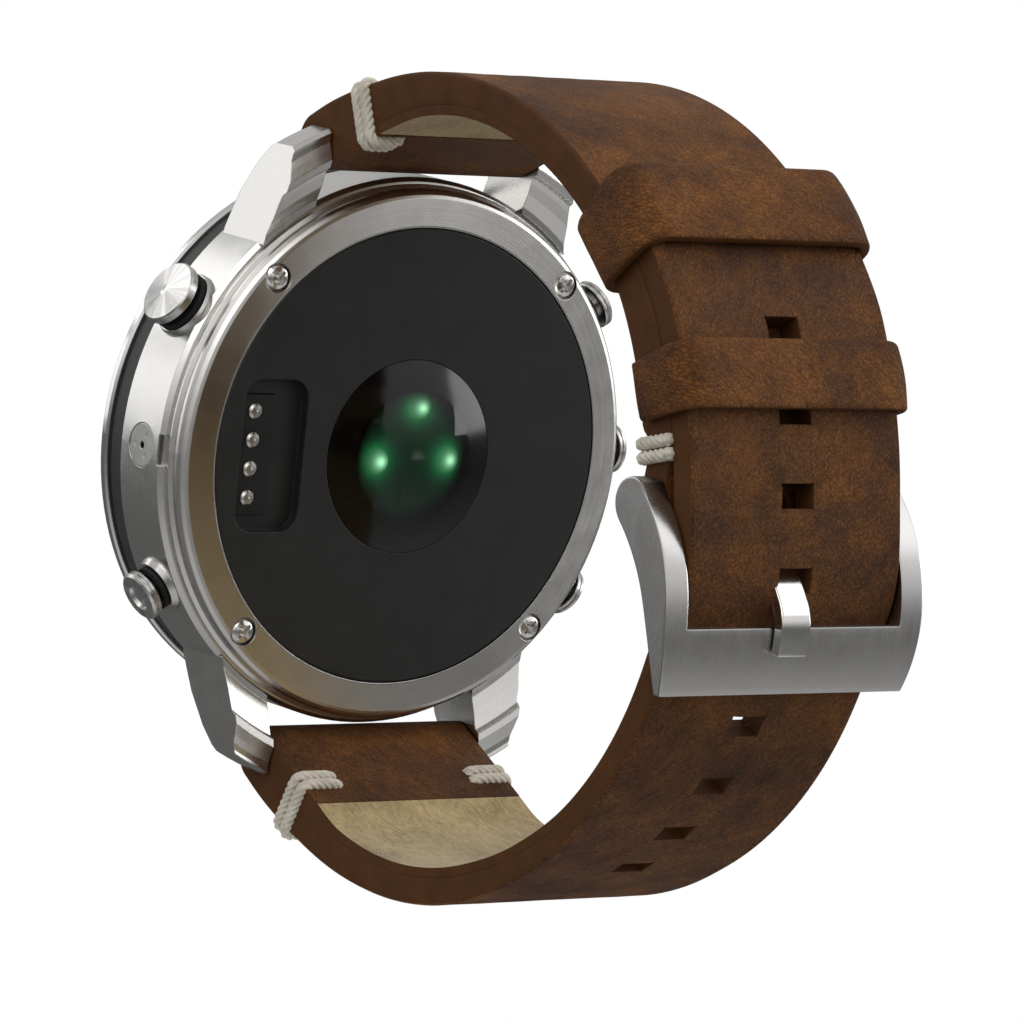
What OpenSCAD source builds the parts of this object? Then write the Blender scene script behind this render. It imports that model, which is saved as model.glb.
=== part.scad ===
// Round outdoor smartwatch on a closed two-piece leather strap.
// Frame: X toward 3 o'clock, Z toward 12 o'clock, Y from the glass toward the wrist.
// The origin is the centre of the flat glass face.

/* [Case] */
// Outer diameter of the mid-case
case_d = 49;
// Depth from the glass to the flat of the case back
case_t = 13.2;
// Outer diameter of the black back cover
cover_d = 40.6;
// Diameter of the optical lens on the back
lens_d = 17.2;
// Height of the optical lens above the back
lens_h = 1.5; // [1.2:0.1:1.8]
// Pitch of the four charging contacts
contact_pitch = 2.54; // [2.4:0.02:2.6]
// Length of a button press
press = 0.5; // [0.4:0.05:0.6]

/* [Strap] */
// Width of the leather strap
strap_w = 21.9; // [21.5:0.1:22]
// Width of the strap tail between the buckle arms
tail_w = 21.5; // [21:0.1:21.6]
// Radius of the strap loop at its outer leather face
loop_r = 35.4;
// Depth of the loop centre behind the glass
loop_y = 30.2;
// Width of a strap hole
hole_w = 3.3; // [3.2:0.05:3.6]
// Height of a strap hole
hole_h = 2; // [1.9:0.05:2.2]

/* [Hidden] */
$fn = 96;
case_r = case_d / 2;
cover_r = cover_d / 2;
lens_r = lens_d / 2;
inner_r = 21.8;
button_y = case_t - 5.45;
strap_x = strap_w / 2;
tail_x = tail_w / 2;
gap_x = 11.15;
root_y = 9.9;
root_z = 27.2;
root_r = 2.5;
bar_r = 0.75;
pin_r = 0.8;
pin_a = 8;
pin_loop_r = 32.2;
pin_y = loop_y + pin_loop_r * cos(pin_a);
pin_z = pin_loop_r * sin(pin_a);
ear_y = pin_y + 0.5;
ear_z = pin_z + 0.1;
lens_ball = (lens_r * lens_r + lens_h * lens_h) / (2 * lens_h);
hole_pitch = 10.5;
contact_x = 16.2;
screw_ring = 21.95;
button_angles = [30, -30, 150, 180, 210];
// outer and inner leather radii against the angle round the loop
upper_out = [[13, 34.3], [25, 34.9], [40, 35.1], [60, 35.2], [97, 35.4], [111, 35.5], [118, 35.85]];
upper_in = [[13, 31], [19, 31.4], [38, 32], [56, 32.2], [89, 31.9], [99, 31.6], [110, 30.9]];
lower_out = [[-118, 35.85], [-111, 35.5], [-95, 35.25], [-57, 35.2], [-40, 35.7], [-20, 36.35]];
lower_in = [[-110, 30.9], [-103, 31.6], [-87, 31.9], [-66, 32.1], [-52, 32.6], [-43, 33.1],
    [-31, 33.6], [-20, 34]];
tail_out = [[-20, 36.35], [-14, 36.55], [-8, 36.75], [-3, 37.6], [0, 37.8], [8, 37.4], [20, 37.5],
    [33, 37.95], [42, 37.7], [50, 37.6]];
tail_in = [[-20, 34], [-14, 34.2], [-8, 34.5], [-3, 35.2], [0, 35.4], [8, 35.05], [20, 35.2],
    [33, 35.65], [42, 35.45], [50, 35.4]];

// ---------- helpers ----------
module along_y(y0, y1, r) {
    translate([0, y0, 0])
        rotate([-90, 0, 0])
            cylinder(h = y1 - y0, r = r);
}

module turned(points) {
    rotate([-90, 0, 0])
        rotate_extrude()
            polygon(points);
}

module along_x(x0, x1) {
    translate([x0, 0, 0])
        rotate([90, 0, 90])
            linear_extrude(height = x1 - x0)
                children();
}

// rod along a radius of the case at the height of the buttons
module radial_rod(angle, r0, r1, r) {
    translate([0, button_y, 0])
        rotate([0, -angle, 0])
            translate([r0, 0, 0])
                rotate([0, 90, 0])
                    cylinder(h = r1 - r0, r = r);
}

module radial_turned(angle, points) {
    translate([0, button_y, 0])
        rotate([0, -angle, 0])
            rotate([0, 90, 0])
                rotate_extrude()
                    polygon(points);
}

// local +Y is the outward radius of the strap loop, local Z runs round it
module on_loop(angle) {
    translate([0, loop_y, 0])
        rotate([angle, 0, 0])
            children();
}

function loop_pt(r, a) = [loop_y + r * cos(a), r * sin(a)];
function lifted(t, a0, a1, n, d) =
    [for (i = [0:n]) loop_pt(lookup(a0 + (a1 - a0) * i / n, t) + d, a0 + (a1 - a0) * i / n)];
function root_arc(a0, a1, n, s) =
    [for (i = [0:n]) [root_y + root_r * cos(a0 + (a1 - a0) * i / n),
        s * (root_z + root_r * sin(a0 + (a1 - a0) * i / n))]];
function pin_arc(a0, a1, n, r) =
    [for (i = [0:n]) [pin_y + r * cos(a0 + (a1 - a0) * i / n),
        pin_z + r * sin(a0 + (a1 - a0) * i / n)]];

module ring_sector(r0, r1, a0, a1) {
    translate([loop_y, 0])
        intersection() {
            difference() {
                circle(r = r1);
                circle(r = r0);
            }
            polygon([[0, 0], [90 * cos(a0), 90 * sin(a0)], [90 * cos(a1), 90 * sin(a1)]]);
        }
}

// ---------- case ----------
module lug_block() {
    intersection() {
        turned([[20, 4.6], [24.8, 4.9], [27.1, 5.95], [29.2, 7.6], [30.3, 8.9], [30.65, 9.6],
            [30.65, 12.15], [30.35, 12.65], [30.1, 12.5], [29.6, 12.5], [29, 12.75], [28.2, 13.05],
            [27.6, 12.9], [27.35, 12.4], [26.9, 12.2], [26, 11.9], [24.9, 11.35], [24.3, 11.3],
            [24.3, 10.6], [20, 10.6]]);
        translate([0, 20, 0])
            rotate([90, 0, 0])
                linear_extrude(height = 20)
                    polygon([[gap_x, 15], [17, 13.5], [14.55, 28.4], [gap_x + 0.3, 30.6],
                        [gap_x, 30.6]]);
    }
}

module lugs() {
    lug_block();
    mirror([1, 0, 0])
        lug_block();
    mirror([0, 0, 1])
        lug_block();
    mirror([1, 0, 0])
        mirror([0, 0, 1])
            lug_block();
}

module case_body() {
    color([0.78, 0.78, 0.78])
        difference() {
            union() {
                turned([[inner_r, 4.15], [24.05, 4.15], [24.5, 4.65], [24.45, 10.4], [24.1, 10.85],
                    [23.75, 10.95], [23.75, 11.15], [23.95, 11.2], [23.95, 11.4], [23.6, 11.65],
                    [inner_r, 11.65]]);
                difference() {
                    lugs();
                    along_y(0, 20, inner_r + 1);
                }
                for (a = [45:90:315])
                    rotate([0, a, 0])
                        translate([screw_ring, 0, 0])
                            along_y(9.2, 11.5, 0.98);
            }
            // tapped holes of the back screws
            for (a = [45:90:315])
                rotate([0, a, 0])
                    translate([screw_ring, 0, 0])
                        along_y(9.8, 12, 0.62);
            // groove of the rear gasket
            turned([[22.95, 11.1], [23.45, 11.1], [23.45, 11.7], [22.95, 11.7]]);
            // bores and seats of the button collars
            for (a = button_angles) {
                radial_rod(a, 20, 26, 1.95);
                radial_rod(a, 24, 30, a == 30 ? 3.02 : 2.62);
            }
            // seat of the pressure port
            radial_rod(0, 24.05, 26, 1.95);
            radial_rod(0, 20, 25, 0.5);
            // small slot beside the port
            translate([23.4, 10.28, -1.35])
                cube([2, 1.02, 2.7]);
            // blind holes of the spring bar tips
            for (s = [-1, 1])
                translate([0, root_y, s * root_z])
                    rotate([0, 90, 0])
                        translate([0, 0, -12.6])
                            cylinder(h = 25.2, r = 0.5);
        }
}

module insulator_band() {
    color([0.15, 0.15, 0.16])
        turned([[21.2, 2.05], [23.75, 2.05], [23.95, 2.25], [23.95, 3.95], [23.8, 4.1], [21.2, 4.1]]);
}

module bezel() {
    color([0.75, 0.75, 0.76])
        turned([[21.25, 0.2], [22.4, 0.2], [23.9, 0.75], [24.4, 1.3], [24.4, 1.85], [24.2, 2],
            [20.4, 2], [20.4, 1.5], [21.25, 1.5]]);
}

module crystal() {
    color([0.6, 0.7, 0.75, 0.5])
        turned([[0, 0], [20.6, 0], [20.95, 0.35], [20.95, 1.45], [0, 1.45]]);
}

module crystal_gasket() {
    color([0.08, 0.08, 0.08])
        turned([[20.98, 0.5], [21.22, 0.5], [21.22, 1.48], [20.98, 1.48]]);
}

module display() {
    color([0.1, 0.12, 0.14])
        along_y(2.1, 3.4, 19.4);
}

module display_frame() {
    color([0.2, 0.2, 0.22])
        difference() {
            turned([[14, 3.45], [20.8, 3.45], [20.8, 4.3], [14, 4.3]]);
            translate([-3, 3, -21])
                cube([6, 2, 5]);
        }
}

module inner_frame() {
    color([0.22, 0.24, 0.26])
        difference() {
            along_y(5.35, 10.1, 18.3);
            along_y(5.9, 11, 16.6);
            translate([-16, 5, -2])
                cube([32, 0.9, 4]);
        }
}

module main_board() {
    color([0.05, 0.3, 0.15])
        difference() {
            along_y(4.35, 5.3, 18.3);
            translate([-20, 4, -4])
                cube([3.5, 2, 8]);
            along_y(4, 6, 1.5);
        }
}

module battery() {
    color([0.65, 0.66, 0.7])
        translate([-4, 0, 0])
            along_y(5.95, 9.6, 11.8);
}

module vibration_motor() {
    color([0.7, 0.7, 0.68])
        translate([12.2, 0, -5])
            along_y(5.95, 8.4, 3.2);
}

module buzzer() {
    color([0.5, 0.45, 0.3])
        translate([12.2, 0, 5])
            along_y(5.95, 7.6, 3);
}

module antenna_ring() {
    color([0.8, 0.6, 0.3])
        difference() {
            turned([[20.9, 2.5], [21.15, 2.5], [21.15, 3.9], [20.9, 3.9]]);
            translate([-4, 2, 15])
                cube([8, 3, 8]);
        }
}

// ---------- case back ----------
module case_gasket() {
    color([0.05, 0.05, 0.05])
        turned([[23, 11.15], [23.4, 11.15], [23.4, 11.68], [23, 11.68]]);
}

module back_ring() {
    color([0.72, 0.7, 0.66])
        difference() {
            turned([[20.35, 11.7], [23.65, 11.7], [23.65, 12.2], [23.46, 12.6], [23.2, 12.88],
                [22.9, 12.98], [20.5, case_t], [20.35, case_t]]);
            for (a = [45:90:315])
                rotate([0, a, 0])
                    translate([screw_ring, 0, 0]) {
                        along_y(11, 14, 0.68);
                        along_y(12.3, 14, 1.28);
                    }
        }
}

module back_screws() {
    color([0.8, 0.8, 0.8])
        for (a = [45:90:315])
            rotate([0, a, 0])
                translate([screw_ring, 0, 0])
                    difference() {
                        union() {
                            along_y(10, 12.3, 0.6);
                            turned([[0, 12.3], [1.18, 12.3], [1.18, 12.75], [0.95, 13.05],
                                [0.6, 13.2], [0, 13.25]]);
                        }
                        translate([-0.82, 12.65, -0.17])
                            cube([1.64, 1, 0.34]);
                        translate([-0.17, 12.65, -0.82])
                            cube([0.34, 1, 1.64]);
                    }
}

module back_cover() {
    color([0.09, 0.09, 0.09])
        difference() {
            turned([[0, 10.6], [19.6, 10.6], [19.6, 11.1], [cover_r, 11.1], [cover_r, 13.05],
                [20.15, case_t], [0, case_t]]);
            // seat and aperture of the lens
            along_y(12.2, 14, lens_r + 0.05);
            along_y(10, 14, 7.3);
            // shallow scoop round the charging contacts
            translate([14.5, case_t - 0.95, 0])
                rotate([-90, 0, 0])
                    linear_extrude(height = 2) {
                        square([6.6, 9.8], center = true);
                        square([3, 13.4], center = true);
                        for (u = [-1, 1])
                            for (v = [-1, 1])
                                translate([u * 1.5, v * 4.9])
                                    circle(r = 1.8);
                    }
            translate([contact_x - 2, 10, -5.3])
                cube([3.6, 4, 10.6]);
        }
}

module contact_block() {
    color([0.06, 0.06, 0.06])
        difference() {
            translate([contact_x - 1.95, 10.2, -5.25])
                cube([3.5, 2.35, 10.5]);
            for (i = [-1.5:1:1.5])
                translate([contact_x, 0, i * contact_pitch])
                    along_y(9, 13, 0.74);
        }
}

module contacts() {
    color([0.75, 0.72, 0.65])
        for (i = [-1.5:1:1.5])
            translate([contact_x, 0, i * contact_pitch])
                turned([[0, 10.3], [0.7, 10.3], [0.7, 12.55], [0.5, 12.75], [0, 12.8]]);
}

module lens() {
    color([0.12, 0.14, 0.13, 0.7])
        rotate([-90, 0, 0])
            rotate_extrude()
                intersection() {
                    translate([0, case_t + lens_h - lens_ball])
                        circle(r = lens_ball);
                    translate([0, 12.25])
                        square([lens_r, 4]);
                }
}

module sensor_board() {
    color([0.04, 0.2, 0.12])
        difference() {
            along_y(10.65, 11.1, 7.25);
            translate([-1, 10, 5.5])
                cube([2, 2, 3]);
        }
}

module sensor_leds() {
    color([0.2, 0.95, 0.4])
        for (p = [[-1.6, 4.1], [2.2, -0.6], [-4.9, -0.4]])
            translate([p[0] - 0.8, 11.1, p[1] - 0.7])
                cube([1.6, 0.7, 1.4]);
}

module photodiodes() {
    color([0.1, 0.1, 0.12])
        for (p = [[-1.5, -3.4], [2.6, 2.5], [-5, 2.6]])
            translate([p[0] - 1.1, 11.1, p[1] - 0.9])
                cube([2.2, 0.5, 1.8]);
}

module port_cover() {
    color([0.7, 0.7, 0.7])
        difference() {
            radial_rod(0, 24.05, 24.4, 1.9);
            radial_rod(0, 24, 25, 0.32);
            for (a = [60, 180, 300])
                translate([0, 1.05 * cos(a), 1.05 * sin(a)])
                    radial_rod(0, 24.2, 25, 0.2);
        }
}

// ---------- buttons ----------
module button_collars() {
    color([0.7, 0.7, 0.72])
        for (a = button_angles)
            radial_turned(a, a == 30
                ? [[1.35, 21.75], [1.9, 21.75], [1.9, 24.02], [3, 24.02], [3, 24.7],
                    [2.85, 24.95], [1.35, 24.95]]
                : [[1.35, 21.75], [1.9, 21.75], [1.9, 24.02], [2.6, 24.02], [2.6, 24.5],
                    [2.3, 25], [1.35, 25]]);
}

module button_seals() {
    color([0.03, 0.03, 0.03])
        for (a = button_angles)
            radial_turned(a, a == 30
                ? [[1.6, 25], [2.7, 25], [2.75, 25.1], [2.75, 25.35], [2.6, 25.45], [1.6, 25.45]]
                : [[1.5, 25.05], [2, 25.05], [2, 25.4], [1.5, 25.4]]);
}

module button_switches() {
    color([0.25, 0.25, 0.27])
        for (a = button_angles) {
            translate([0, button_y, 0])
                rotate([0, -a, 0])
                    translate([18.35, -1.3, -1.6])
                        cube([1.2, 2.6, 3.2]);
            radial_rod(a, 19.6, 20, 0.7);
        }
}

module button_cap(angle) {
    difference() {
        radial_turned(angle, [[0, 20.65], [1.25, 20.65], [1.25, 21.1], [0.9, 21.1], [0.9, 21.5],
            [1.25, 21.5], [1.25, 26.02], [2.2, 26.02], [2.25, 26.1], [2.25, 26.3], [2.05, 26.35],
            [2.05, 26.45], [2.25, 26.5], [2.25, 26.7], [2.05, 26.9], [0, 26.9]]);
        radial_rod(angle, 26.7, 28, 1.2);
    }
}

module start_button() {
    color([0.82, 0.82, 0.84])
        radial_turned(30, [[0, 20.65], [1.25, 20.65], [1.25, 21.1], [0.9, 21.1], [0.9, 21.5],
            [1.25, 21.5], [1.25, 26.02], [2.75, 26.02], [2.88, 26.15], [2.88, 26.8],
            [2.75, 26.95], [2.5, 26.98], [0, 27.3]]);
}

module back_button() {
    color([0.8, 0.8, 0.82])
        button_cap(-30);
}

module light_button() {
    color([0.8, 0.8, 0.82])
        button_cap(150);
}

module menu_button() {
    color([0.8, 0.8, 0.82])
        button_cap(180);
}

module down_button() {
    color([0.8, 0.8, 0.82])
        button_cap(210);
}

module stem_clip(angle) {
    radial_turned(angle, [[0.93, 21.13], [1.8, 21.13], [1.8, 21.47], [0.93, 21.47]]);
}

module start_clip() {
    color([0.5, 0.5, 0.52])
        stem_clip(30);
}

module back_clip() {
    color([0.5, 0.5, 0.52])
        stem_clip(-30);
}

module light_clip() {
    color([0.5, 0.5, 0.52])
        stem_clip(150);
}

module menu_clip() {
    color([0.5, 0.5, 0.52])
        stem_clip(180);
}

module down_clip() {
    color([0.5, 0.5, 0.52])
        stem_clip(210);
}

// ---------- strap ----------
module spring_bar(s) {
    translate([0, root_y, s * root_z])
        rotate([0, 90, 0])
            translate([0, 0, -12.3])
                rotate_extrude()
                    polygon([[0, 0], [0.45, 0], [0.45, 1.25], [bar_r, 1.3], [bar_r, 23.3],
                        [0.45, 23.35], [0.45, 24.6], [0, 24.6]]);
}

module spring_bar_upper() {
    color([0.6, 0.6, 0.62])
        spring_bar(1);
}

module spring_bar_lower() {
    color([0.6, 0.6, 0.62])
        spring_bar(-1);
}

module strap_upper() {
    color([0.45, 0.27, 0.13])
        difference() {
            along_x(-strap_x, strap_x)
                polygon(concat(root_arc(296, 114, 12, 1), lifted(upper_out, 117, 15, 34, 0),
                    pin_arc(50, -170, 14, 1.8), lifted(upper_in, 16.5, 17.4, 1, 0),
                    lifted(upper_in, 17.5, 108.5, 30, 0.9), lifted(upper_in, 108.6, 109.6, 1, 0)));
            // bore of the spring bar and of the buckle pin
            translate([-15, root_y, root_z])
                rotate([0, 90, 0])
                    cylinder(h = 30, r = bar_r + 0.07);
            translate([-15, pin_y, pin_z])
                rotate([0, 90, 0])
                    cylinder(h = 30, r = pin_r + 0.02);
            // slot that clears the tongue
            translate([-1.95, pin_y - 4, pin_z - 6])
                cube([3.9, 8, 10.4]);
        }
}

module lining_upper() {
    color([0.65, 0.57, 0.4])
        along_x(-strap_x + 0.02, strap_x - 0.02)
            polygon(concat(lifted(upper_in, 17.5, 108.5, 30, 0), lifted(upper_in, 108.5, 17.5, 30, 0.88)));
}

module strap_hole(a, rad) {
    on_loop(a)
        translate([-hole_w / 2, rad - 4, -hole_h / 2])
            cube([hole_w, 8, hole_h]);
}

module strap_lower() {
    color([0.45, 0.27, 0.13])
        difference() {
            along_x(-strap_x, strap_x)
                polygon(concat(root_arc(296, 114, 12, -1), lifted(lower_out, -117, -20, 34, 0),
                    lifted(lower_in, -20, -108.5, 30, 0.9), lifted(lower_in, -108.6, -109.6, 1, 0)));
            translate([-15, root_y, -root_z])
                rotate([0, 90, 0])
                    cylinder(h = 30, r = bar_r + 0.07);
            for (i = [2:5])
                strap_hole(-1.4 - hole_pitch * i, 35);
        }
}

module lining_lower() {
    color([0.65, 0.57, 0.4])
        difference() {
            along_x(-strap_x + 0.02, strap_x - 0.02)
                polygon(concat(lifted(lower_in, -20, -108.5, 30, 0.88),
                    lifted(lower_in, -108.5, -20, 30, 0)));
            for (i = [2:5])
                strap_hole(-1.4 - hole_pitch * i, 33);
        }
}

module strap_tail() {
    color([0.45, 0.27, 0.13])
        difference() {
            along_x(-tail_x, tail_x)
                polygon(concat(lifted(tail_out, -19.8, 49, 36, 0), lifted(tail_in, 49, -19.8, 36, 0)));
            for (i = [-3:1])
                strap_hole(-1.4 - hole_pitch * i, 37);
            // room for the tongue where it comes through
            along_x(-1.72, 1.72)
                polygon([[pin_y + 1.5, pin_z + 1.6], [66, 2.1], [68.4, 0.2], [69.5, -3.35],
                    [68.05, -3.35], [66, -1.4], [64.9, -0.75], [pin_y, pin_z - 2.2]]);
        }
}

// one wrap of thick cord round a strap edge, local +Y outward
module cord_wrap(s, z, r_in, r_out, reach) {
    for (r = [r_in - 0.63, r_out + 0.63])
        translate([s * (strap_x + 0.6), r, z])
            rotate([0, -90 * s, 0])
                cylinder(h = reach, r = 0.55, $fn = 24);
    translate([s * (strap_x + 0.6), r_in - 0.63, z])
        rotate([-90, 0, 0])
            cylinder(h = r_out - r_in + 1.26, r = 0.55, $fn = 24);
    for (r = [r_in - 0.63, r_out + 0.63])
        translate([s * (strap_x + 0.6), r, z])
            sphere(r = 0.55, $fn = 24);
}

module cord_pair(a, r_in, r_out, reach) {
    on_loop(a)
        for (s = [-1, 1])
            for (z = [-0.62, 0.62])
                cord_wrap(s, z, r_in, r_out, reach);
}

module thread_upper() {
    color([0.72, 0.69, 0.62])
        cord_pair(108, 30.93, 35.5, 4.2);
}

module thread_lower() {
    color([0.72, 0.69, 0.62])
        cord_pair(-108, 31.05, 35.48, 4.2);
}

module thread_buckle() {
    color([0.72, 0.69, 0.62])
        on_loop(15.6)
            for (s = [-1, 1])
                for (z = [-0.62, 0.62])
                    translate([s * (strap_x + 0.6), 31.1, z])
                        rotate([-90, 0, 0])
                            cylinder(h = 3.5, r = 0.55, $fn = 24);
}

module keeper_fixed() {
    color([0.42, 0.25, 0.12])
        difference() {
            along_x(-12.15, 12.15)
                ring_sector(32.4, 39.05, 19.6, 28.3);
            along_x(-strap_x - 0.05, strap_x + 0.05)
                ring_sector(30, 38.15, 15, 33);
        }
}

module keeper_free() {
    color([0.42, 0.25, 0.12])
        difference() {
            along_x(-12.45, 12.45)
                ring_sector(30.5, 39.3, 41.2, 52.8);
            along_x(-strap_x - 0.35, strap_x + 0.35)
                ring_sector(31.6, 38.2, 35, 60);
        }
}

// ---------- buckle ----------
module buckle_pin() {
    color([0.6, 0.6, 0.62])
        translate([-12.95, pin_y, pin_z])
            rotate([0, 90, 0])
                cylinder(h = 25.9, r = pin_r);
}

module buckle_side() {
    difference() {
        union() {
            translate([ear_y, ear_z])
                circle(r = 2.15);
            intersection() {
                translate([55.1, -4.4])
                    circle(r = 13.5);
                polygon([[pin_y - 2, pin_z], [pin_y + 1, pin_z + 2.2], [70, 6], [70, -10.3],
                    [66, -10.3], [60, -10.3]]);
            }
        }
        difference() {
            translate([50.7, -8.9])
                circle(r = 15.8);
            translate([ear_y, ear_z])
                circle(r = 2.15);
        }
    }
}

module buckle_bar() {
    intersection() {
        difference() {
            translate([55.1, -4.4])
                circle(r = 13.5);
            translate([55.1, -4.4])
                circle(r = 12.1);
        }
        polygon([[60, -4.6], [70, -4.6], [70, -10.3], [60, -10.3]]);
    }
}

module buckle_frame() {
    color([0.75, 0.75, 0.77])
        difference() {
            union() {
                for (s = [-13.45, 11.1])
                    along_x(s, s + 2.35)
                        buckle_side();
                along_x(-11.2, 11.2)
                    buckle_bar();
            }
            translate([-13, pin_y, pin_z])
                rotate([0, 90, 0])
                    cylinder(h = 26, r = pin_r + 0.05);
        }
}

module buckle_tongue() {
    color([0.85, 0.85, 0.86])
        difference() {
            union() {
                translate([-1.5, pin_y, pin_z])
                    rotate([0, 90, 0])
                        cylinder(h = 3, r = 1.65);
                along_x(-1.5, 1.5)
                    polygon([[pin_y - 0.9, pin_z - 1.1], [pin_y + 1, pin_z + 1], [65.6, 1.75],
                        [67.6, -0.3], [68.7, -1.8], [69.2, -3.1], [69.45, -4.4], [69.4, -5.4],
                        [69.2, -6.95], [68.48, -6.95], [68.68, -5.4], [68.66, -4.4],
                        [68.25, -3.3], [67.5, -2.2], [66.3, -1], [65.2, -0.2]]);
            }
            translate([-3, pin_y, pin_z])
                rotate([0, 90, 0])
                    cylinder(h = 6, r = pin_r + 0.05);
        }
}

case_body();
insulator_band();
bezel();
crystal();
crystal_gasket();
display();
display_frame();
main_board();
battery();
vibration_motor();
buzzer();
antenna_ring();
inner_frame();
case_gasket();
back_ring();
back_cover();
back_screws();
lens();
sensor_board();
sensor_leds();
photodiodes();
contact_block();
contacts();
port_cover();
button_collars();
button_seals();
button_switches();
start_button();
back_button();
light_button();
menu_button();
down_button();
start_clip();
back_clip();
light_clip();
menu_clip();
down_clip();
spring_bar_upper();
spring_bar_lower();
strap_upper();
lining_upper();
strap_lower();
lining_lower();
strap_tail();
thread_upper();
thread_lower();
thread_buckle();
keeper_fixed();
keeper_free();
buckle_pin();
buckle_frame();
buckle_tongue();
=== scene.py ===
import math

import bmesh
import bpy
from mathutils import Matrix, Vector, noise

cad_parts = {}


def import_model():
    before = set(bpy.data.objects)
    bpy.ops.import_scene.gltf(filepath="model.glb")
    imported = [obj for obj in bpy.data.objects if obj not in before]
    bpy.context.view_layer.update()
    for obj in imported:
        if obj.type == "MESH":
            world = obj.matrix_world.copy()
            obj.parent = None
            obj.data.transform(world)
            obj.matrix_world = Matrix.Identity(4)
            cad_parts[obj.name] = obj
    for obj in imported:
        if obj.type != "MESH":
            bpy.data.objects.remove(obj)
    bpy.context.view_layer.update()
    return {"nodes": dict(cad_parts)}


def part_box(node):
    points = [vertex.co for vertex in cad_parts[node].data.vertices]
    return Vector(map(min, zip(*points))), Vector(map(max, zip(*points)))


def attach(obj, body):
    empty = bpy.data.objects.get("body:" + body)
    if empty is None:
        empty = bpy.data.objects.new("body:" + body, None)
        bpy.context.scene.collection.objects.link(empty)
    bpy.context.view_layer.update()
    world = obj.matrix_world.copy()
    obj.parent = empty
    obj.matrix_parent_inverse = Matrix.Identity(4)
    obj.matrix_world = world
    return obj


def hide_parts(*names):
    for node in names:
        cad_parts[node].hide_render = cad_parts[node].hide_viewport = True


MM = 0.001          # every size below is in millimetres unless it says otherwise
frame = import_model()
scene = bpy.context.scene


# ---------- camera ----------
CAMERA_ANGLES = (142.94, 8.10, 6.0)         # azimuth, elevation and roll, in degrees
CAMERA_AIM = (-12.065, 13.2, -4.963)
CAMERA_DISTANCE = 541.2
CAMERA_LENS = 212.9


def make_camera():
    az, el, roll = (math.radians(v) for v in CAMERA_ANGLES)
    back = Vector((math.sin(az) * math.cos(el), -math.cos(az) * math.cos(el), math.sin(el)))
    right = (-back).cross(Vector((0, 0, 1))).normalized()
    up = right.cross(-back)
    r = right * math.cos(roll) + up * math.sin(roll)
    u = up * math.cos(roll) - right * math.sin(roll)
    data = bpy.data.cameras.new("camera")
    data.sensor_width = 36
    data.lens = CAMERA_LENS
    data.clip_start = 0.02
    data.clip_end = 20
    cam = bpy.data.objects.new("camera", data)
    place = Vector(CAMERA_AIM) * MM + back * CAMERA_DISTANCE * MM
    cam.matrix_world = Matrix(((r.x, u.x, back.x, place.x), (r.y, u.y, back.y, place.y),
                               (r.z, u.z, back.z, place.z), (0, 0, 0, 1)))
    scene.collection.objects.link(cam)
    scene.camera = cam


make_camera()


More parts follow.
